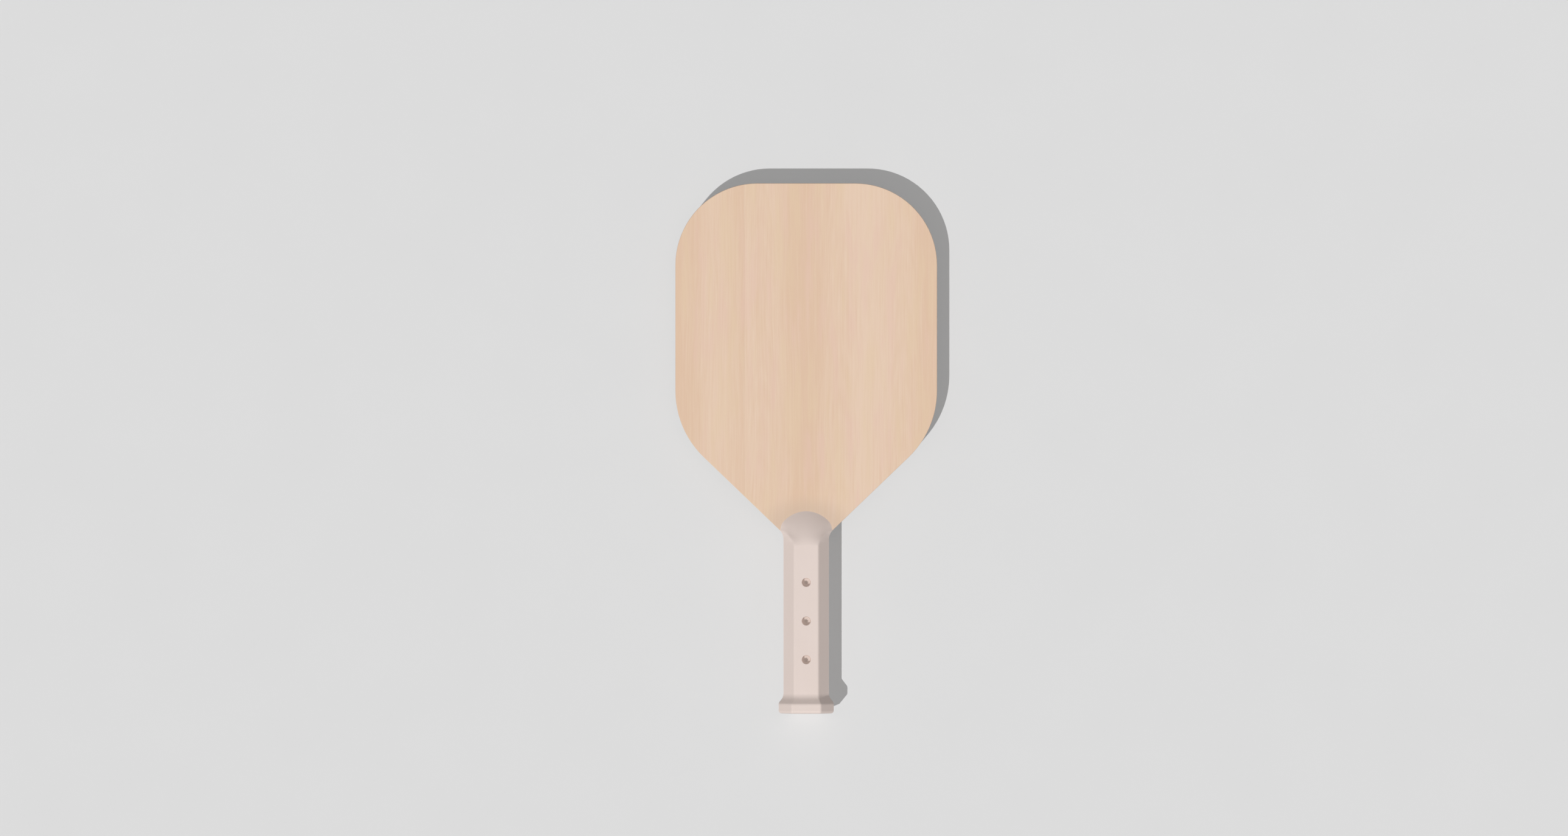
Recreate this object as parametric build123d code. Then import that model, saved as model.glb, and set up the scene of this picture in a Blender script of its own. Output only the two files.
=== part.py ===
from build123d import *

import math
import os

# Pickleball paddle: a plywood blade whose tang is clamped between two moulded handle scales.
#
# Everything is modelled with its origin at the butt end, on the middle plane of the blade: +X across the
# face, +Y from the butt towards the blade's top edge, +Z out of the front face. Lengths along the paddle
# are measured from the butt end. place() moves a finished piece into the part's own frame, whose origin is
# the bottom centre of the whole paddle lying on its rear side. All lengths are in millimetres.

# Blade
TOTAL_LENGTH = 405.3
FACE_WIDTH = 200.0
TOP_CORNER_RADIUS = 62.5
LOWER_CORNER_RADIUS = 70.5
TAPER_ANGLE = 46.15
TAPER_START = 216.7
SHOULDER_RADIUS = 10.0
BLADE_THICKNESS = 9.5
FACE_VENEER = 1.0
INNER_PLIES = ["front_crossband", "front_core_ply", "centre_ply", "rear_core_ply", "rear_crossband"]
VENEER_ARRIS = 0.4

# Grip: an octagon whose side flats are the edges of the tang
GRIP_WIDTH = 34.7
GRIP_THICKNESS = 29.9
GRIP_FLAT = 18.7
GRIP_EDGE_RADIUS = 2.0

# Butt cap and the flare that leads into it
CAP_WIDTH = 42.0
CAP_THICKNESS = 38.2
CAP_FLAT = 22.5
BUTT_RIM_RADIUS = 2.2
FLARE_START = 15.2
FLARE_CONCAVE_RADIUS = 7.6
FLARE_CONVEX_RADIUS = 2.8
FLARE_SLOPE = 38.0
TANG_GAP = 0.2

# Domed nose, where each scale runs out on the blade
NOSE_ROLL_START = 127.7
NOSE_START = 131.2
NOSE_FAN = 0.3
NOSE_BREAK = 134.9
NOSE_BREAK_SLOPE = 0.28
NOSE_TIP = 154.5
NOSE_BLOCK_END = 156.0
NOSE_BLOCK_WIDTH = 45.0
DOME_ENTRY = 0.03
DOME_SIDE_START = 127.5
DOME_SIDE_END = 138.0
DOME_SIDE_DROP = 0.015
DOME_SHOULDER = 139.3
DOME_SHOULDER_SPREAD = 4.6
DOME_SHOULDER_DROP = 1.0e-5
DOME_GRID_STEP = 2.0
DOME_GRID_HALF_WIDTH = 24.0
DOME_CUT_HEIGHT = 60.0

# Fasteners: low-head hex socket screws in barrel nuts
SCREW_COUNT = 3
FIRST_SCREW = 41.3
SCREW_PITCH = 29.5
COUNTERBORE_DIAMETER = 6.8
COUNTERBORE_CHAMFER = 0.15
HEAD_RECESS = 4.9
HEAD_DIAMETER = 6.5
HEAD_HEIGHT = 2.8
HEAD_EDGE_RADIUS = 0.3
SOCKET_ACROSS_FLATS = 2.5
SOCKET_DEPTH = 2.2
SCREW_DIAMETER = 4.0
SCREW_LENGTH = 12.0
SLEEVE_DIAMETER = 5.0
SLEEVE_HOLE_DIAMETER = 5.2
SLEEVE_BORE_DIAMETER = 4.1
SLEEVE_BORE_DEPTH = 12.5
SLEEVE_END_GAP = 0.6

# Coring under each scale, which keeps the moulding's walls even
CORE_WIDTH = 16.5
CORE_DEPTH = 6.0
CORE_CORNER_RADIUS = 2.5
CORE_WALL = 6.0

# How close an edge's place must be to a height or a distance to be picked by it
EDGE_MATCH = 0.1

HALF_BLADE = BLADE_THICKNESS / 2
HALF_GRIP = GRIP_THICKNESS / 2
SCALE_HEIGHT = HALF_GRIP - HALF_BLADE
FACET_ANGLE = math.degrees(math.atan2(GRIP_WIDTH - GRIP_FLAT, GRIP_THICKNESS - BLADE_THICKNESS))
TAPER_SLOPE = math.tan(math.radians(TAPER_ANGLE))
TAPER_END = TAPER_START - (FACE_WIDTH - GRIP_WIDTH) / 2 / TAPER_SLOPE
SHOULDER_TANGENT = SHOULDER_RADIUS * math.tan(math.radians(TAPER_ANGLE / 2))
SHOULDER_START = TAPER_END - SHOULDER_TANGENT
TANG_END = FLARE_START + TANG_GAP
SCREW_PLACES = [FIRST_SCREW + SCREW_PITCH * i for i in range(SCREW_COUNT)]


def place(piece):
    """Moves a piece from the butt end and middle plane into the part's own frame."""
    return Pos(0, -TOTAL_LENGTH / 2, CAP_THICKNESS / 2) * piece


def blade_outline():
    """The blade and its tang: round corners, a straight taper and a concave shoulder on each side."""
    half_face = FACE_WIDTH / 2
    half_tang = GRIP_WIDTH / 2
    tang_side = [(half_tang, TANG_END), (half_tang, TAPER_END)]
    right = tang_side + [(half_face, TAPER_START), (half_face, TOTAL_LENGTH)]
    left = [(-x, y) for x, y in reversed(right)]
    right_radii = [0, SHOULDER_RADIUS, LOWER_CORNER_RADIUS, TOP_CORNER_RADIUS]
    radii = right_radii + right_radii[::-1]
    return make_face(FilletPolyline(*right, *left, radius=radii, close=True))


def ply(bottom, thickness):
    """One sheet of the plywood with the fastener holes drilled through it."""
    sheet = extrude(Pos(0, 0, bottom) * blade_outline(), thickness)
    for along in SCREW_PLACES:
        sheet -= Pos(0, along, bottom + thickness / 2) * Cylinder(SLEEVE_HOLE_DIAMETER / 2, 2 * thickness)
    return sheet


def face_veneer():
    """The front veneer, with its outer edge eased."""
    sheet = ply(HALF_BLADE - FACE_VENEER, FACE_VENEER)
    rim = sheet.faces().sort_by(Axis.Z)[-1].outer_wire().edges()
    return fillet(rim, VENEER_ARRIS)


def flat_slab(angle, grip_half, cap_half):
    """Everything inside one flat of the handle, from the butt end to the nose.

    The angle is the flat's outward direction, turned from the paddle's right side towards its front.
    The two lengths are the flat's distances from the handle's axis on the grip and on the butt cap.
    """
    slope = math.radians(FLARE_SLOPE)
    flare_foot = FLARE_START - FLARE_CONCAVE_RADIUS * math.tan(slope / 2)
    flare_top = flare_foot - (cap_half - grip_half) / math.tan(slope)
    inside = [(NOSE_START, -CAP_WIDTH), (0, -CAP_WIDTH)]
    flat = [(0, cap_half), (flare_top, cap_half), (flare_foot, grip_half), (NOSE_START, grip_half)]
    radii = [0, 0, 0, FLARE_CONVEX_RADIUS, FLARE_CONCAVE_RADIUS, 0]
    outline = make_face(FilletPolyline(*inside, *flat, radius=radii, close=True))
    turn = math.radians(angle)
    beside = Plane(origin=(0, 0, 0), x_dir=(0, 1, 0), z_dir=(math.sin(turn), 0, -math.cos(turn)))
    return extrude(beside * outline, CAP_WIDTH, both=True)


def facet_distance(x, z):
    """Distance from the handle's axis of the sloping flat through a point of the cross-section."""
    turn = math.radians(FACET_ANGLE)
    return x * math.cos(turn) + z * math.sin(turn)


def runs_beside_front_flat(edge):
    """Whether an edge lies along the handle, between its front flat and a sloping one."""
    is_high = (edge @ 0.5).Z > HALF_GRIP - EDGE_MATCH
    return is_high and abs((edge @ 1).Y - (edge @ 0).Y) > EDGE_MATCH


def grip_and_cap():
    """The upper half of the butt cap, the flare and the octagonal grip, up to the foot of the nose."""
    side = flat_slab(0, GRIP_WIDTH / 2, CAP_WIDTH / 2)
    grip_facet = facet_distance(GRIP_WIDTH / 2, HALF_BLADE)
    facet = flat_slab(FACET_ANGLE, grip_facet, facet_distance(CAP_FLAT / 2, CAP_THICKNESS / 2))
    right = flat_slab(90, HALF_GRIP, CAP_THICKNESS / 2) & side & facet
    upper = Box(CAP_WIDTH, 2 * NOSE_START, CAP_THICKNESS, align=(Align.CENTER, Align.CENTER, Align.MIN))
    handle = right & mirror(right, Plane.YZ) & upper
    handle = fillet(handle.edges().filter_by(runs_beside_front_flat), GRIP_EDGE_RADIUS)
    end_edges = handle.faces().sort_by(Axis.Y)[0].outer_wire().edges()
    return fillet(end_edges.sort_by(Axis.Z)[1:], BUTT_RIM_RADIUS)


def nose_stretch(side):
    """A stretch of the nose block: its facets rise from the two edges of its foot to its flat top."""
    back, front = side @ 0, side @ 1
    foot = side + mirror(side, Plane.YZ)
    foot += [Line((-end.X, end.Y), (end.X, end.Y)) for end in (back, front)]
    half_back, half_front = (GRIP_FLAT / 2 + NOSE_FAN * (end.Y - NOSE_START) for end in (back, front))
    top = [(half_back, back.Y), (half_front, front.Y), (-half_front, front.Y), (-half_back, back.Y)]
    outlines = [
        Pos(0, 0, HALF_BLADE) * make_face(foot),
        Pos(0, 0, HALF_GRIP) * make_face(Polyline(*top, close=True)),
    ]
    return loft(outlines, ruled=True)


def nose_block():
    """The scale's front end before its dome is cut: the facets fan out over the blade's shoulders."""
    half_grip = GRIP_WIDTH / 2
    half_block = NOSE_BLOCK_WIDTH / 2
    shoulder_run = SHOULDER_TANGENT * math.cos(math.radians(TAPER_ANGLE))
    start = (half_grip, SHOULDER_START)
    shoulder = (half_grip + shoulder_run * TAPER_SLOPE, TAPER_END + shoulder_run)
    side_start = (half_block, TAPER_END + (half_block - half_grip) / TAPER_SLOPE)
    behind_shoulder = nose_stretch(Line((half_grip, NOSE_START), start))
    over_shoulder = nose_stretch(RadiusArc(start, shoulder, SHOULDER_RADIUS))
    over_taper = nose_stretch(Line(shoulder, side_start))
    ahead = nose_stretch(Line(side_start, (half_block, NOSE_BLOCK_END)))
    return behind_shoulder + over_shoulder + over_taper + ahead


def crest_height(along):
    """Height of the dome's crest above the blade: it rolls off the top flat, then runs down to the tip."""
    roll = NOSE_BREAK - NOSE_ROLL_START
    if along < NOSE_BREAK:
        return SCALE_HEIGHT - NOSE_BREAK_SLOPE * (along - NOSE_ROLL_START) ** 2 / (2 * roll)
    run = NOSE_TIP - NOSE_BREAK
    break_height = SCALE_HEIGHT - NOSE_BREAK_SLOPE * roll / 2
    tip_slope = 2 * break_height / run - NOSE_BREAK_SLOPE
    past = along - NOSE_BREAK
    return break_height - NOSE_BREAK_SLOPE * past - (tip_slope - NOSE_BREAK_SLOPE) * past**2 / (2 * run)


def dome_height(x, along):
    """Height of the dome above the blade: the crest, less a drop to each side ahead of the top flat."""
    turn = (along - DOME_SIDE_START) / (DOME_SIDE_END - DOME_SIDE_START)
    turn = min(max(turn, 0), 1)
    side = DOME_SIDE_DROP * turn**2 * (3 - 2 * turn)
    shoulder = DOME_SHOULDER_DROP * math.exp(-(((along - DOME_SHOULDER) / DOME_SHOULDER_SPREAD) ** 2))
    return crest_height(along) + DOME_ENTRY - side * x**2 - shoulder * x**4


def dome_cutter():
    """Everything above the dome, ahead of the line where it leaves the top flat."""
    columns = round(2 * DOME_GRID_HALF_WIDTH / DOME_GRID_STEP) + 1
    rows = math.ceil((NOSE_BLOCK_END - NOSE_ROLL_START) / DOME_GRID_STEP) + 2
    across_places = [DOME_GRID_STEP * i - DOME_GRID_HALF_WIDTH for i in range(columns)]
    along_places = [NOSE_ROLL_START + DOME_GRID_STEP * i for i in range(rows)]
    grid = [[(x, y, HALF_BLADE + dome_height(x, y)) for y in along_places] for x in across_places]
    return extrude(Face.make_surface_from_array_of_points(grid), DOME_CUT_HEIGHT, dir=(0, 0, 1))


def tang_space():
    """The room between the scales that the blade's plies fill."""
    length = NOSE_BLOCK_END - FLARE_START
    return Pos(0, FLARE_START + length / 2, 0) * Box(FACE_WIDTH, length, BLADE_THICKNESS)


def fastener_bores():
    """The stepped holes for the fasteners, each a wide bore for the head above a sleeve hole."""
    head_floor = HALF_GRIP - HEAD_RECESS - HEAD_HEIGHT
    sleeve_hole = Cylinder(SLEEVE_HOLE_DIAMETER / 2, 2 * GRIP_THICKNESS)
    counterbore = Pos(0, 0, head_floor + HALF_GRIP) * Cylinder(COUNTERBORE_DIAMETER / 2, GRIP_THICKNESS)
    bores = []
    for along in SCREW_PLACES:
        bores += [Pos(0, along, 0) * sleeve_hole, Pos(0, along, 0) * counterbore]
    return bores


def cores():
    """Pockets in the scale's underside, between the fasteners and the solid ends."""
    ends = [FLARE_START, *SCREW_PLACES, NOSE_ROLL_START + CORE_WALL]
    pockets = []
    for start, end in zip(ends, ends[1:]):
        length = end - start - 2 * CORE_WALL
        middle = Plane(origin=(0, (start + end) / 2, HALF_BLADE))
        outline = middle * RectangleRounded(CORE_WIDTH, length, CORE_CORNER_RADIUS)
        pockets.append(extrude(outline, CORE_DEPTH))
    return pockets


def handle_scale():
    """The front handle scale: butt cap, flare, octagonal grip and domed nose in one moulding."""
    scale = grip_and_cap() + nose_block() - tang_space() - dome_cutter() - fastener_bores() - cores()
    circles = scale.edges().filter_by(GeomType.CIRCLE).filter_by(lambda edge: edge.is_closed)
    return chamfer(circles.sort_by(Axis.Z)[-SCREW_COUNT:], COUNTERBORE_CHAMFER)


def socket_head(top):
    """A low round head with a hex socket, its top face at the given height."""
    head = Pos(0, 0, top - HEAD_HEIGHT / 2) * Cylinder(HEAD_DIAMETER / 2, HEAD_HEIGHT)
    head = fillet(head.edges().filter_by(GeomType.CIRCLE).sort_by(Axis.Z)[-1], HEAD_EDGE_RADIUS)
    socket_radius = SOCKET_ACROSS_FLATS / 2
    socket = extrude(Pos(0, 0, top) * RegularPolygon(socket_radius, 6, major_radius=False), -SOCKET_DEPTH)
    return head - socket


def screw():
    """One through screw, its head sunk in the front scale. A plain shank stands for the thread."""
    head_top = HALF_GRIP - HEAD_RECESS
    shank_top = head_top - HEAD_HEIGHT
    shank = Pos(0, 0, shank_top - SCREW_LENGTH / 2) * Cylinder(SCREW_DIAMETER / 2, SCREW_LENGTH)
    return socket_head(head_top) + shank


def barrel_nut():
    """One barrel nut, drawn as if its head were in front. A plain blind bore stands for the thread."""
    head_top = HALF_GRIP - HEAD_RECESS
    sleeve_top = head_top - HEAD_HEIGHT
    sleeve_length = 2 * sleeve_top - SLEEVE_END_GAP
    sleeve = Pos(0, 0, sleeve_top - sleeve_length / 2) * Cylinder(SLEEVE_DIAMETER / 2, sleeve_length)
    bore = Pos(0, 0, sleeve_top - sleeve_length) * Cylinder(
        SLEEVE_BORE_DIAMETER / 2, SLEEVE_BORE_DEPTH, align=(Align.CENTER, Align.CENTER, Align.MIN)
    )
    return socket_head(head_top) + sleeve - bore


def turned_over(piece):
    """The same piece on the rear side of the paddle."""
    return mirror(piece, Plane.XY)


def at_screws(piece):
    """A copy of a fastener at each screw's place, as one group of separate solids."""
    return Compound(children=[Pos(0, along, 0) * piece for along in SCREW_PLACES])


def pieces():
    """Every node of the paddle by name, still about the butt end and middle plane."""
    nodes = {"front_face_veneer": face_veneer(), "rear_face_veneer": turned_over(face_veneer())}
    inner_ply = (BLADE_THICKNESS - 2 * FACE_VENEER) / len(INNER_PLIES)
    for i, name in enumerate(INNER_PLIES):
        nodes[name] = ply(HALF_BLADE - FACE_VENEER - inner_ply * (i + 1), inner_ply)
    scale = handle_scale()
    nodes["front_handle_scale"] = scale
    nodes["rear_handle_scale"] = turned_over(scale)
    nodes["handle_screws"] = at_screws(screw())
    nodes["barrel_nuts"] = at_screws(turned_over(barrel_nut()))
    return nodes


os.makedirs("parts", exist_ok=True)
for name, piece in pieces().items():
    export_step(place(piece), f"parts/{name}.step")
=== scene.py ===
import math

import bpy
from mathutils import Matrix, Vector


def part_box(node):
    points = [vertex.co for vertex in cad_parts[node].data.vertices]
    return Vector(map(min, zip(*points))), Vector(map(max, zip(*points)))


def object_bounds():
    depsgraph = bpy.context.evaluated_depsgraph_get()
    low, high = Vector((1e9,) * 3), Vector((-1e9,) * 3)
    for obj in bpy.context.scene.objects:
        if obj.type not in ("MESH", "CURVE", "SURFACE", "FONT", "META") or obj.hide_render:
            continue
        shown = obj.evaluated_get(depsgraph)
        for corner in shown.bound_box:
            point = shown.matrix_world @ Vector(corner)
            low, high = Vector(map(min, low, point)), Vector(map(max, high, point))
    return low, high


# Looks for the pickleball paddle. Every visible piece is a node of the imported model, because a paddle is
# all hard parts; this script gives each one its material, and adds the floor, the lights and the camera.
# The frame: +X across the face, +Y towards the blade's top edge, +Z up out of the front face, in metres.
# Materials work in millimetres: MM turns the frame's metres into them.

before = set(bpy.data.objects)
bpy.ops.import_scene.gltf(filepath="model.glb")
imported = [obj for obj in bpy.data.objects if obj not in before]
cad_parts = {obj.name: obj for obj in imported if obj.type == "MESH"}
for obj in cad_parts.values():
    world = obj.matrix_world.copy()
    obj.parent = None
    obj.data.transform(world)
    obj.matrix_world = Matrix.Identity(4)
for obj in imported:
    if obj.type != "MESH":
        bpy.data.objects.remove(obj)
cad_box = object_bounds()

MM = 1000
# The numbers of the frame's axes across the paddle and along it
ACROSS, ALONG = 0, 1

# Camera: a long lens straight above the blade, because the paddle is seen square on
CAMERA_LENS = 300
CAMERA_SENSOR = 36
CAMERA_REACH = 100
VIEW_WIDTH = 1.1984
VIEW_CENTRE = (-0.0170, 0.0232)

# Lights: a key from the butt's left, faint light all round, and shadowless fills low on the four sides,
# each with the side that it stands on and its strength
KEY_TRAVEL = (0.411, 0.5008, -1)
KEY_STRENGTH = 2.14
KEY_ANGLE = 0.6
SKY_STRENGTH = 0.08
GROUND_SHARE = 0.35
HORIZON = 0.05
FILL_ELEVATION = 27
FILLS = {
    "right": ((1, 0), 1.025),
    "left": ((-1, 0), 0.775),
    "butt": ((0, -1), 0.57),
    "top": ((0, 1), 0.27),
}

FLOOR_SIZE = 40
FLOOR_COLOUR = (0.70, 0.70, 0.70)
FLOOR_DARKEST = 0.985

# How alike a surface's own normal and its rounded one are on flat stretches, and on worn edges
FLAT_ALIKE = 0.999
EDGE_ALIKE = 0.90

# Face veneer: colours from its warm streaks to its pale ones, and of what lies over them
WARM_MAPLE = (0.715, 0.512, 0.370)
PALE_MAPLE = (0.765, 0.580, 0.445)
PINK_BLUSH = (0.752, 0.525, 0.432)
YELLOW_BLUSH = (0.738, 0.563, 0.388)
FLECK = (0.46, 0.29, 0.18)
LEAF_JOINT = (0.42, 0.27, 0.17)
# Painted shade: the darker wood laid around the handle's nose, where the nose's contact shadow falls
NOSE_SHADE_MAPLE = (0.56, 0.43, 0.335)
WORN_MAPLE = (0.60, 0.43, 0.30)
# How strongly each layer moves the veneer's tone, and how strongly each colour covers it
FLAME_SHARE = 0.07
PATCH_SHARE = 0.80
STREAK_SHARE = 1.40
LINE_SHARE = 1.15
FIBRE_SHARE = 1.15
BLUSH_SHARE = 0.45
FLECK_SHARE = 0.20
JOINT_SHARE = 0.12
# How strongly the painted shade around the nose covers the veneer
NOSE_SHADE_SHARE = 0.5
WORN_SHARE = 0.18
# Across the face, (place in mm, how pale): the veneer's broad bands. The leaf's joint is at SEAM.
SEAM = -47.4
FRONT_BANDS = [
    (-98, 0.10), (-89, 0.12), (-73, 0.72), (-60, 0.55), (-50.5, 0.28), (SEAM - 0.3, 0.22),
    (SEAM + 0.3, 0.75), (-36, 0.62), (-20, 0.50), (-9, 0.08), (2.5, 0.08), (20, 0.55), (42, 0.98),
    (60, 0.78), (81, 0.50), (89, 0.10), (98, 0.05),
]
REAR_SEAM = 31.0
REAR_BANDS = [
    (-98, 0.62), (-80, 0.80), (-62, 0.34), (-41, 0.20), (-18, 0.70), (8, 0.95), (REAR_SEAM - 0.3, 0.60),
    (REAR_SEAM + 0.3, 0.15), (46, 0.30), (66, 0.72), (84, 0.48), (98, 0.22),
]
# (middle in mm, half width in mm, how far along its arches repeat in mm, shift along in mm) of each flame
FRONT_FLAMES = [(-34, 11, 26, 0), (26, 13, 31, 12), (74, 12, 28, 5)]
REAR_FLAMES = [(-70, 12, 30, 8), (-8, 14, 34, 3), (62, 11, 25, 14)]
ARCH_STEEPNESS = 2.2
# Painted shade on the wood around the handle's nose, standing for the nose's contact shadow: an ellipse in
# mm over the nose, and the multiples of it within which the painted shade is full and beyond which it is
# gone
NOSE_SHADE_HALF_WIDTH = 20
NOSE_SHADE_HALF_LENGTH = 12.5
NOSE_SHADE_REACH = (0.9, 2.2)

# Inner plies: early and late wood where the grain runs across the paddle, and where it runs along
CROSS_PLY = ((0.52, 0.335, 0.195), (0.36, 0.215, 0.115))
LONG_PLY = ((0.70, 0.51, 0.32), (0.56, 0.385, 0.225))
PORE = (0.20, 0.11, 0.06)
GLUE_LINE = (0.22, 0.125, 0.065)
HANDLED_PLY = (0.42, 0.30, 0.21)
END_GRAIN_SHARE = 0.30
PORE_SHARE = 0.45
GLUE_SHARE = 0.62
HANDLED_SHARE = 0.22

# Handle
PLASTIC = (0.742, 0.634, 0.585)
PLASTIC_SHADE = (0.728, 0.618, 0.567)
PLASTIC_PITS = (0.60, 0.50, 0.45)
PLASTIC_RUBBED = (0.80, 0.70, 0.65)
PARTING_LINE = (0.30, 0.25, 0.225)
PITS_SHARE = 0.12
RUBBED_SHARE = 0.16
PARTING_SHARE = 0.7
# The nose's edges are softened over up to this radius in mm. The softening sets in between two distances
# behind the nose's tip in mm, and near the rim its radius is a share of the height above the blade.
MELT_RADIUS = 3.0
MELT_BEHIND_TIP = (29.9, 21.9)
MELT_RIM_SHARE = 0.8
MELT_SAMPLES = 16

# Fasteners
COATING = (0.520, 0.445, 0.405)
COATING_SHADE = (0.485, 0.410, 0.372)
BARE_METAL = (0.56, 0.54, 0.52)
BARE_SHARE = 0.55


class Nodes:
    """Writes one material's node tree. Each method adds a node and returns the output to link onwards."""

    def __init__(self, name):
        self.material = bpy.data.materials.new(name)
        self.material.use_nodes = True
        self.tree = self.material.node_tree
        self.tree.nodes.clear()
        coordinates = self.tree.nodes.new("ShaderNodeTexCoord")
        self.place = self.vector("MULTIPLY", coordinates.outputs["Object"], (MM, MM, MM))

    def put(self, socket, value):
        """Links an output to a socket, or sets the socket to a constant."""
        if isinstance(value, bpy.types.NodeSocket):
            self.tree.links.new(value, socket)
        elif isinstance(value, (tuple, list)) and socket.type == "RGBA":
            socket.default_value = (*value, 1)
        else:
            socket.default_value = value

    def math(self, operation, a, b=0.0, clamp=False):
        node = self.tree.nodes.new("ShaderNodeMath")
        node.operation = operation
        node.use_clamp = clamp
        self.put(node.inputs[0], a)
        self.put(node.inputs[1], b)
        return node.outputs[0]

    def scaled(self, value, factor):
        return self.math("MULTIPLY", value, factor)

    def distance(self, value, middle):
        """How far a value is from a middle, to either side."""
        return self.math("ABSOLUTE", self.math("SUBTRACT", value, middle))

    def vector(self, operation, a, b):
        node = self.tree.nodes.new("ShaderNodeVectorMath")
        node.operation = operation
        self.put(node.inputs[0], a)
        self.put(node.inputs[1], b)
        return node.outputs["Value" if operation == "DOT_PRODUCT" else "Vector"]

    def axes(self, vector):
        node = self.tree.nodes.new("ShaderNodeSeparateXYZ")
        self.put(node.inputs[0], vector)
        return node.outputs[0], node.outputs[1], node.outputs[2]

    def joined(self, x, y, z):
        node = self.tree.nodes.new("ShaderNodeCombineXYZ")
        for socket, value in zip(node.inputs, (x, y, z)):
            self.put(socket, value)
        return node.outputs[0]

    def noise(self, place, grain, detail=2.0, roughness=0.5, seed=0.0):
        """Noise about 0, roughly -0.5 to 0.5, whose features are grain = (x, y, z) millimetres long."""
        stretched = self.vector("DIVIDE", place, grain)
        node = self.tree.nodes.new("ShaderNodeTexNoise")
        node.noise_dimensions = "4D"
        self.put(node.inputs["Vector"], stretched)
        self.put(node.inputs["W"], seed)
        self.put(node.inputs["Scale"], 1.0)
        self.put(node.inputs["Detail"], detail)
        self.put(node.inputs["Roughness"], roughness)
        return self.math("SUBTRACT", node.outputs["Fac"], 0.5)

    def step(self, value, low, high, start=0.0, end=1.0):
        """A smooth step from start, where value is low, to end, where it is high."""
        node = self.tree.nodes.new("ShaderNodeMapRange")
        node.interpolation_type = "SMOOTHSTEP"
        for socket, number in zip(node.inputs, (value, low, high, start, end)):
            self.put(socket, number)
        return node.outputs[0]

    def mix(self, share, a, b):
        """Colour a, and colour b where share is 1."""
        node = self.tree.nodes.new("ShaderNodeMix")
        node.data_type = "RGBA"
        factor, first, second = node.inputs[0], node.inputs[6], node.inputs[7]
        for socket, value in ((factor, share), (first, a), (second, b)):
            self.put(socket, value)
        return node.outputs[2]

    def bands(self, value, stops):
        """The value's place among stops of (place, level), with straight runs between them."""
        low, high = stops[0][0], stops[-1][0]
        spread = self.math("DIVIDE", self.math("SUBTRACT", value, low), high - low, clamp=True)
        node = self.tree.nodes.new("ShaderNodeValToRGB")
        elements = node.color_ramp.elements
        while len(elements) < len(stops):
            elements.new(1.0)
        for element, (place, level) in zip(elements, stops):
            element.position = (place - low) / (high - low)
            element.color = (level, level, level, 1)
        self.put(node.inputs[0], spread)
        grey_as_number = self.math("ADD", node.outputs["Color"], 0.0)
        return grey_as_number

    def rounded(self, radius, samples=6):
        """The surface's normal with its edges softened over this radius in millimetres."""
        node = self.tree.nodes.new("ShaderNodeBevel")
        node.samples = samples
        self.put(node.inputs["Radius"], self.math("DIVIDE", radius, MM))
        return node.outputs[0]

    def edge_wear(self, radius):
        """1 on edges sharper than a rounding of this radius in mm, falling to 0 on flat stretches."""
        geometry = self.tree.nodes.new("ShaderNodeNewGeometry")
        alike = self.vector("DOT_PRODUCT", self.rounded(radius), geometry.outputs["Normal"])
        return self.step(alike, FLAT_ALIKE, EDGE_ALIKE)

    def bump(self, height, depth, normal=None):
        """Relief from a height of about 0 to 1, depth millimetres deep."""
        node = self.tree.nodes.new("ShaderNodeBump")
        self.put(node.inputs["Distance"], depth / MM)
        self.put(node.inputs["Height"], height)
        if normal is not None:
            self.put(node.inputs["Normal"], normal)
        return node.outputs[0]

    def finish(self, **inputs):
        """Closes the tree with a shader whose sockets are given by name, and returns the material."""
        shader = self.tree.nodes.new("ShaderNodeBsdfPrincipled")
        for name, value in inputs.items():
            self.put(shader.inputs[name.replace("_", " ")], value)
        output = self.tree.nodes.new("ShaderNodeOutputMaterial")
        self.tree.links.new(shader.outputs[0], output.inputs[0])
        return self.material


def flame(n, x, y, middle, half_width, repeat, shift, stray):
    """The figure of a flat-sawn board: nested arches about a middle line, fading out at its sides."""
    side = n.math("DIVIDE", n.math("SUBTRACT", x, middle), half_width)
    side_squared = n.scaled(side, side)
    rise = n.math("DIVIDE", n.math("SUBTRACT", y, shift), repeat)
    arch = n.math("ADD", rise, n.scaled(side_squared, ARCH_STEEPNESS))
    rings = n.math("SINE", n.scaled(n.math("ADD", arch, stray), 2 * math.pi))
    return n.scaled(rings, n.step(side_squared, 0.2, 1.6, 1, 0))


def nose_tip():
    """Where the handle's nose ends along the paddle, in millimetres."""
    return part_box("front_handle_scale")[1].y * MM


def painted_nose_shade(n, x, y):
    """1 where the wood meets the handle's nose, falling to 0 further out: the mask of the painted shade
    that stands for the nose's contact shadow.
    """
    full, gone = NOSE_SHADE_REACH
    side = n.math("DIVIDE", x, NOSE_SHADE_HALF_WIDTH)
    ahead = n.math("DIVIDE", n.math("SUBTRACT", y, nose_tip() - NOSE_SHADE_HALF_LENGTH), NOSE_SHADE_HALF_LENGTH)
    reach = n.math("ADD", n.scaled(side, side), n.scaled(ahead, ahead))
    return n.step(n.math("SQRT", reach), gone, full)


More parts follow.
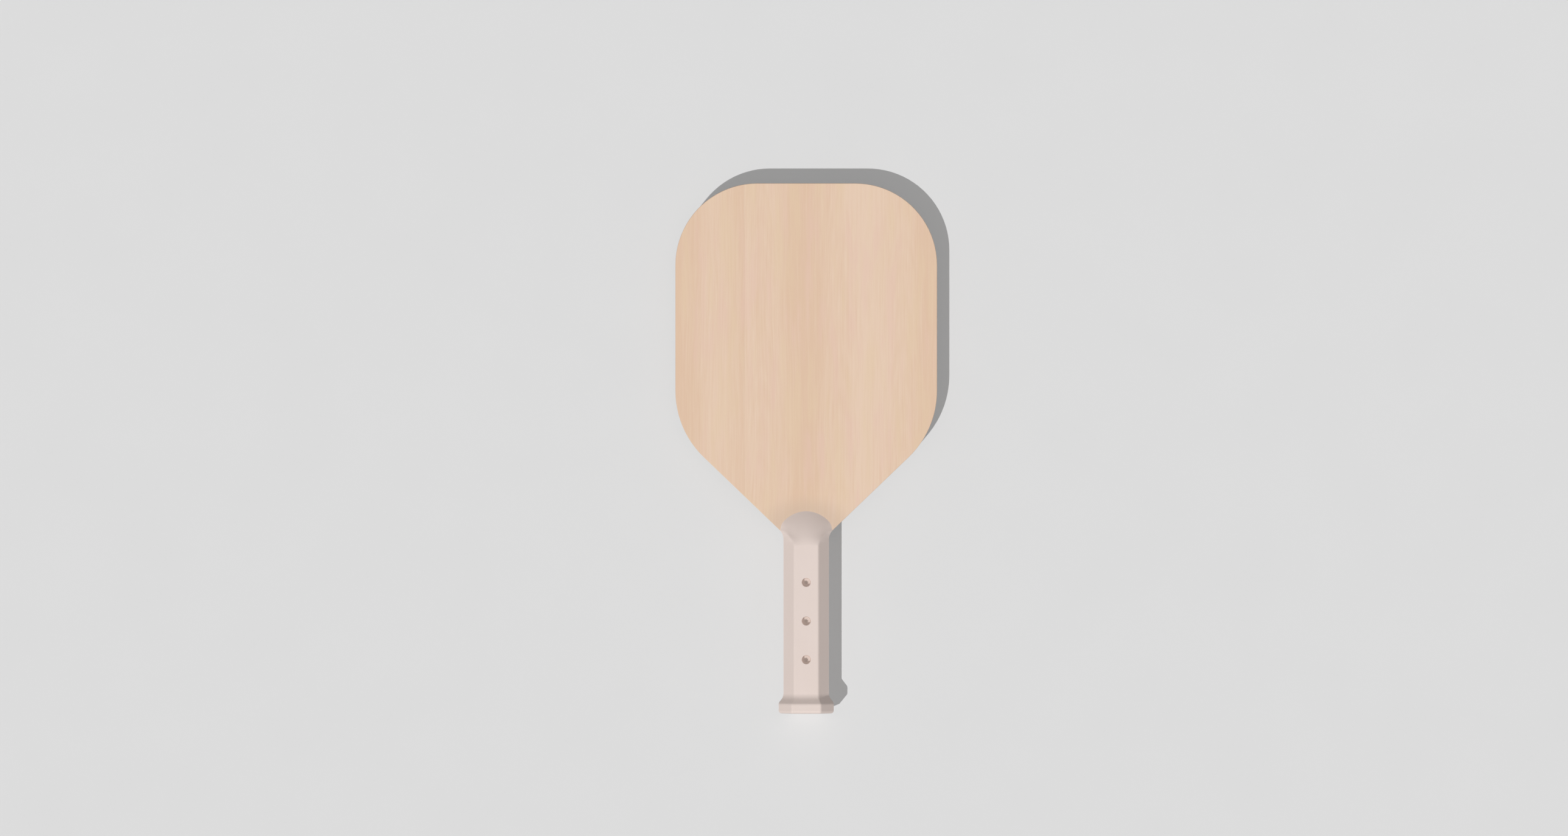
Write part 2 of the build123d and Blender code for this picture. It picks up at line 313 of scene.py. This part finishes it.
def maple_veneer(name, bands, seam, flames, seed):
    """Pale maple: broad bands, faint flames, fine straight grain and the joint of its two leaves."""
    n = Nodes(name)
    x, y, z = n.axes(n.place)
    wander = n.noise(n.place, (38, 150, 38), detail=2, seed=seed)
    drift = n.scaled(wander, 7)
    along = n.joined(n.math("ADD", x, drift), y, z)
    from_seam = n.distance(x, seam)
    band_place = n.math("ADD", x, n.scaled(drift, n.step(from_seam, 2, 9)))

    tone = n.bands(band_place, bands)
    patches = n.noise(along, (16, 120, 16), detail=3, seed=seed + 1)
    streaks = n.noise(along, (1.7, 170, 1.7), detail=3, roughness=0.6, seed=seed + 2)
    lines = n.noise(along, (1.0, 42, 1.0), detail=2, roughness=0.5, seed=seed + 7)
    fibres = n.noise(along, (0.55, 20, 0.55), detail=2, roughness=0.6, seed=seed + 3)
    stray = n.scaled(n.noise(n.place, (14, 60, 14), detail=2, seed=seed + 4), 1.6)
    layers = [(flame(n, x, y, *figure, stray), FLAME_SHARE) for figure in flames]
    layers += [(patches, PATCH_SHARE), (streaks, STREAK_SHARE), (lines, LINE_SHARE), (fibres, FIBRE_SHARE)]
    for layer, share in layers:
        tone = n.math("ADD", tone, n.scaled(layer, share))
    colour = n.mix(n.math("ADD", tone, 0, clamp=True), WARM_MAPLE, PALE_MAPLE)

    blush = n.noise(along, (9.0, 60, 9.0), detail=2, roughness=0.5, seed=seed + 5)
    colour = n.mix(n.step(blush, 0.0, 0.20, 0, BLUSH_SHARE), colour, PINK_BLUSH)
    colour = n.mix(n.step(blush, 0.0, -0.20, 0, BLUSH_SHARE), colour, YELLOW_BLUSH)
    fleck = n.noise(along, (0.28, 3.4, 0.28), detail=1, seed=seed + 6)
    colour = n.mix(n.step(fleck, 0.24, 0.36, 0, FLECK_SHARE), colour, FLECK)
    joint = n.step(from_seam, 0.05, 0.22, 1, 0)
    colour = n.mix(n.scaled(joint, JOINT_SHARE), colour, LEAF_JOINT)
    # Painted shade: the wood is darkened around the handle's nose, standing for the nose's contact shadow
    colour = n.mix(n.scaled(painted_nose_shade(n, x, y), NOSE_SHADE_SHARE), colour, NOSE_SHADE_MAPLE)
    colour = n.mix(n.scaled(n.edge_wear(0.5), WORN_SHARE), colour, WORN_MAPLE)

    grain = n.math("ADD", n.scaled(streaks, 0.5), fibres)
    relief = n.math("SUBTRACT", n.math("ADD", grain, 0.5), n.scaled(joint, 0.8))
    return n.finish(
        Base_Color=colour,
        Roughness=n.math("ADD", 0.56, n.scaled(grain, 0.22)),
        Specular_IOR_Level=0.25,
        Normal=n.bump(relief, depth=0.035),
    )


def ply_wood(node, grain_axis, woods, seed):
    """An inner ply as its edge shows it: streaks along the grain, dark pores where it is cut across."""
    n = Nodes(node + "_wood")
    early, late = woods
    low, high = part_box(node)
    z = n.axes(n.place)[2]
    pores = [0.35, 0.35, 0.35]
    growth = [5.0, 5.0, 0.8]
    pores[grain_axis] = 14
    growth[grain_axis] = 120
    fine = n.noise(n.place, pores, detail=2, roughness=0.6, seed=seed)
    rings = n.noise(n.place, growth, detail=3, seed=seed + 1)
    tone = n.math("ADD", n.scaled(fine, 0.9), n.scaled(rings, 1.1))
    colour = n.mix(n.step(tone, -0.35, 0.40), early, late)

    geometry = n.tree.nodes.new("ShaderNodeNewGeometry")
    facing = n.axes(geometry.outputs["Normal"])[grain_axis]
    end_grain = n.step(n.math("ABSOLUTE", facing), 0.35, 0.95)
    cut_pores = n.scaled(n.step(fine, 0.06, 0.22), end_grain)
    colour = n.mix(n.scaled(end_grain, END_GRAIN_SHARE), colour, late)
    colour = n.mix(n.scaled(cut_pores, PORE_SHARE), colour, PORE)

    half = (high.z - low.z) / 2 * MM
    from_middle = n.distance(z, (low.z + high.z) / 2 * MM)
    glue = n.step(n.math("ADD", from_middle, n.scaled(fine, 0.08)), half - 0.16, half - 0.05)
    colour = n.mix(n.scaled(glue, GLUE_SHARE), colour, GLUE_LINE)
    handling = n.noise(n.place, (18, 18, 18), detail=3, seed=seed + 2)
    colour = n.mix(n.step(handling, 0.0, 0.3, 0, HANDLED_SHARE), colour, HANDLED_PLY)

    relief = n.math("SUBTRACT", n.math("ADD", fine, 0.5), n.scaled(glue, 0.5))
    return n.finish(
        Base_Color=colour,
        Roughness=n.math("ADD", 0.68, n.scaled(fine, 0.20)),
        Specular_IOR_Level=0.2,
        Normal=n.bump(relief, depth=0.05),
    )


def melted_nose(n, y, from_middle, half_blade):
    """The handle's normal, softened at the edges where the dome cuts the flats but not at its rim."""
    start, full = (nose_tip() - behind for behind in MELT_BEHIND_TIP)
    above_blade = n.math("SUBTRACT", from_middle, half_blade)
    reach = n.math("MINIMUM", n.scaled(above_blade, MELT_RIM_SHARE), MELT_RADIUS)
    reach = n.math("MAXIMUM", reach, 0.0)
    return n.rounded(n.scaled(reach, n.step(y, start, full)), MELT_SAMPLES)


def moulded_plastic():
    """Warm grey satin plastic with a fine moulded texture, polished a little on its edges by the hand."""
    n = Nodes("moulded_plastic")
    y, z = n.axes(n.place)[1:]
    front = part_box("front_face_veneer")[1].z * MM
    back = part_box("rear_face_veneer")[0].z * MM
    from_middle = n.distance(z, (front + back) / 2)
    clouds = n.noise(n.place, (22, 34, 22), detail=3, seed=31)
    flow = n.noise(n.place, (5, 38, 5), detail=2, seed=32)
    grain = n.noise(n.place, (0.42, 0.42, 0.42), detail=2, roughness=0.55, seed=33)
    orange_peel = n.noise(n.place, (2.4, 2.4, 2.4), detail=2, seed=34)
    shade = n.math("ADD", n.scaled(clouds, 0.6), n.scaled(flow, 0.4))
    colour = n.mix(n.step(shade, -0.30, 0.30), PLASTIC_SHADE, PLASTIC)
    colour = n.mix(n.step(grain, 0.12, 0.32, 0, PITS_SHARE), colour, PLASTIC_PITS)
    worn = n.edge_wear(1.2)
    colour = n.mix(n.scaled(worn, RUBBED_SHARE), colour, PLASTIC_RUBBED)
    parting = n.step(from_middle, 0.05, 0.16, PARTING_SHARE, 0)
    colour = n.mix(parting, colour, PARTING_LINE)

    roughness = n.math("ADD", 0.50, n.scaled(grain, 0.25))
    roughness = n.math("ADD", roughness, n.scaled(clouds, 0.16))
    roughness = n.math("SUBTRACT", roughness, n.scaled(worn, 0.12))
    melted = melted_nose(n, y, from_middle, (front - back) / 2)
    fine = n.bump(n.math("ADD", grain, 0.5), depth=0.018, normal=melted)
    return n.finish(
        Base_Color=colour,
        Roughness=roughness,
        Specular_IOR_Level=0.30,
        Normal=n.bump(n.math("ADD", orange_peel, 0.5), depth=0.02, normal=fine),
    )


def coated_metal():
    """The fasteners' coating, darker than the handle, and rubbed through on its sharpest edges."""
    n = Nodes("coated_metal")
    mottle = n.noise(n.place, (1.4, 1.4, 1.4), detail=3, seed=51)
    speckle = n.noise(n.place, (0.16, 0.16, 0.16), detail=2, seed=52)
    colour = n.mix(n.step(mottle, -0.3, 0.3), COATING_SHADE, COATING)
    worn = n.scaled(n.edge_wear(0.18), n.step(mottle, -0.08, 0.10))
    bare = n.scaled(worn, BARE_SHARE)
    colour = n.mix(bare, colour, BARE_METAL)
    return n.finish(
        Base_Color=colour,
        Metallic=bare,
        Roughness=n.math("ADD", 0.40, n.scaled(speckle, 0.30)),
        Specular_IOR_Level=0.35,
        Normal=n.bump(n.math("ADD", speckle, 0.5), depth=0.010),
    )


def pale_floor():
    """Plain matt paint, with the faintest unevenness."""
    n = Nodes("pale_floor")
    uneven = n.noise(n.place, (60, 60, 60), detail=4, seed=71)
    darker = tuple(FLOOR_DARKEST * level for level in FLOOR_COLOUR)
    return n.finish(
        Base_Color=n.mix(n.step(uneven, -0.4, 0.4), darker, FLOOR_COLOUR),
        Roughness=0.9,
        Specular_IOR_Level=0.0,
    )


def dress(material, *names):
    """Gives CAD nodes their material."""
    for name in names:
        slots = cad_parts[name].data.materials
        slots.clear()
        slots.append(material)


def sun(name, travel, strength, angle):
    """A distant light that travels along a direction."""
    lamp = bpy.data.lights.new(name, "SUN")
    lamp.energy = strength
    lamp.angle = math.radians(angle)
    light = bpy.data.objects.new(name, lamp)
    light.rotation_mode = "QUATERNION"
    light.rotation_quaternion = Vector(travel).to_track_quat("-Z", "Y")
    bpy.context.scene.collection.objects.link(light)
    return light


def add_lights():
    """The key, which casts the one shadow, and the fills, which cast none."""
    sun("key", KEY_TRAVEL, KEY_STRENGTH, KEY_ANGLE)
    level = math.cos(math.radians(FILL_ELEVATION))
    down = math.sin(math.radians(FILL_ELEVATION))
    for name, ((x, y), strength) in FILLS.items():
        fill = sun("fill_" + name, (-x * level, -y * level, -down), strength, KEY_ANGLE)
        fill.data.use_shadow = False
        fill.visible_glossy = False


def add_sky():
    """Even light from above, and a darker half below, which stands for what a studio floor sends back."""
    world = bpy.data.worlds.new("studio")
    bpy.context.scene.world = world
    world.use_nodes = True
    tree = world.node_tree
    background = tree.nodes["Background"]
    background.inputs["Color"].default_value = (1, 1, 1, 1)
    coordinates = tree.nodes.new("ShaderNodeTexCoord")
    split = tree.nodes.new("ShaderNodeSeparateXYZ")
    height = tree.nodes.new("ShaderNodeMapRange")
    tree.links.new(coordinates.outputs["Generated"], split.inputs[0])
    tree.links.new(split.outputs[2], height.inputs[0])
    ramp = (-HORIZON, HORIZON, GROUND_SHARE * SKY_STRENGTH, SKY_STRENGTH)
    for socket, number in zip(list(height.inputs)[1:], ramp):
        socket.default_value = number
    tree.links.new(height.outputs[0], background.inputs["Strength"])


def add_floor(level):
    """A pale floor at the paddle's lowest point. It lends the paddle no bounced light."""
    mesh = bpy.data.meshes.new("floor")
    half = FLOOR_SIZE / 2
    corners = [(-half, -half, level), (half, -half, level), (half, half, level), (-half, half, level)]
    mesh.from_pydata(corners, [], [(0, 1, 2, 3)])
    floor = bpy.data.objects.new("floor", mesh)
    floor.data.materials.append(pale_floor())
    floor.visible_diffuse = False
    bpy.context.scene.collection.objects.link(floor)


def add_camera(level):
    """A camera straight above, so far up that its view at the blade's face is VIEW_WIDTH wide."""
    camera = bpy.data.cameras.new("camera")
    camera.lens = CAMERA_LENS
    camera.sensor_width = CAMERA_SENSOR
    camera.clip_end = CAMERA_REACH
    holder = bpy.data.objects.new("camera", camera)
    holder.location = (*VIEW_CENTRE, level + VIEW_WIDTH * CAMERA_LENS / CAMERA_SENSOR)
    bpy.context.scene.collection.objects.link(holder)
    bpy.context.scene.camera = holder


dress(maple_veneer("front_maple", FRONT_BANDS, SEAM, FRONT_FLAMES, 1), "front_face_veneer")
dress(maple_veneer("rear_maple", REAR_BANDS, REAR_SEAM, REAR_FLAMES, 11), "rear_face_veneer")
for number, node in enumerate(("front_crossband", "centre_ply", "rear_crossband")):
    dress(ply_wood(node, ACROSS, CROSS_PLY, 20 + 3 * number), node)
for number, node in enumerate(("front_core_ply", "rear_core_ply")):
    dress(ply_wood(node, ALONG, LONG_PLY, 40 + 3 * number), node)
dress(moulded_plastic(), "front_handle_scale", "rear_handle_scale")
dress(coated_metal(), "handle_screws", "barrel_nuts")

blade_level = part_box("front_face_veneer")[1].z
add_floor(cad_box[0].z)
add_sky()
add_lights()
add_camera(blade_level)
bpy.context.scene.view_settings.view_transform = "Standard"
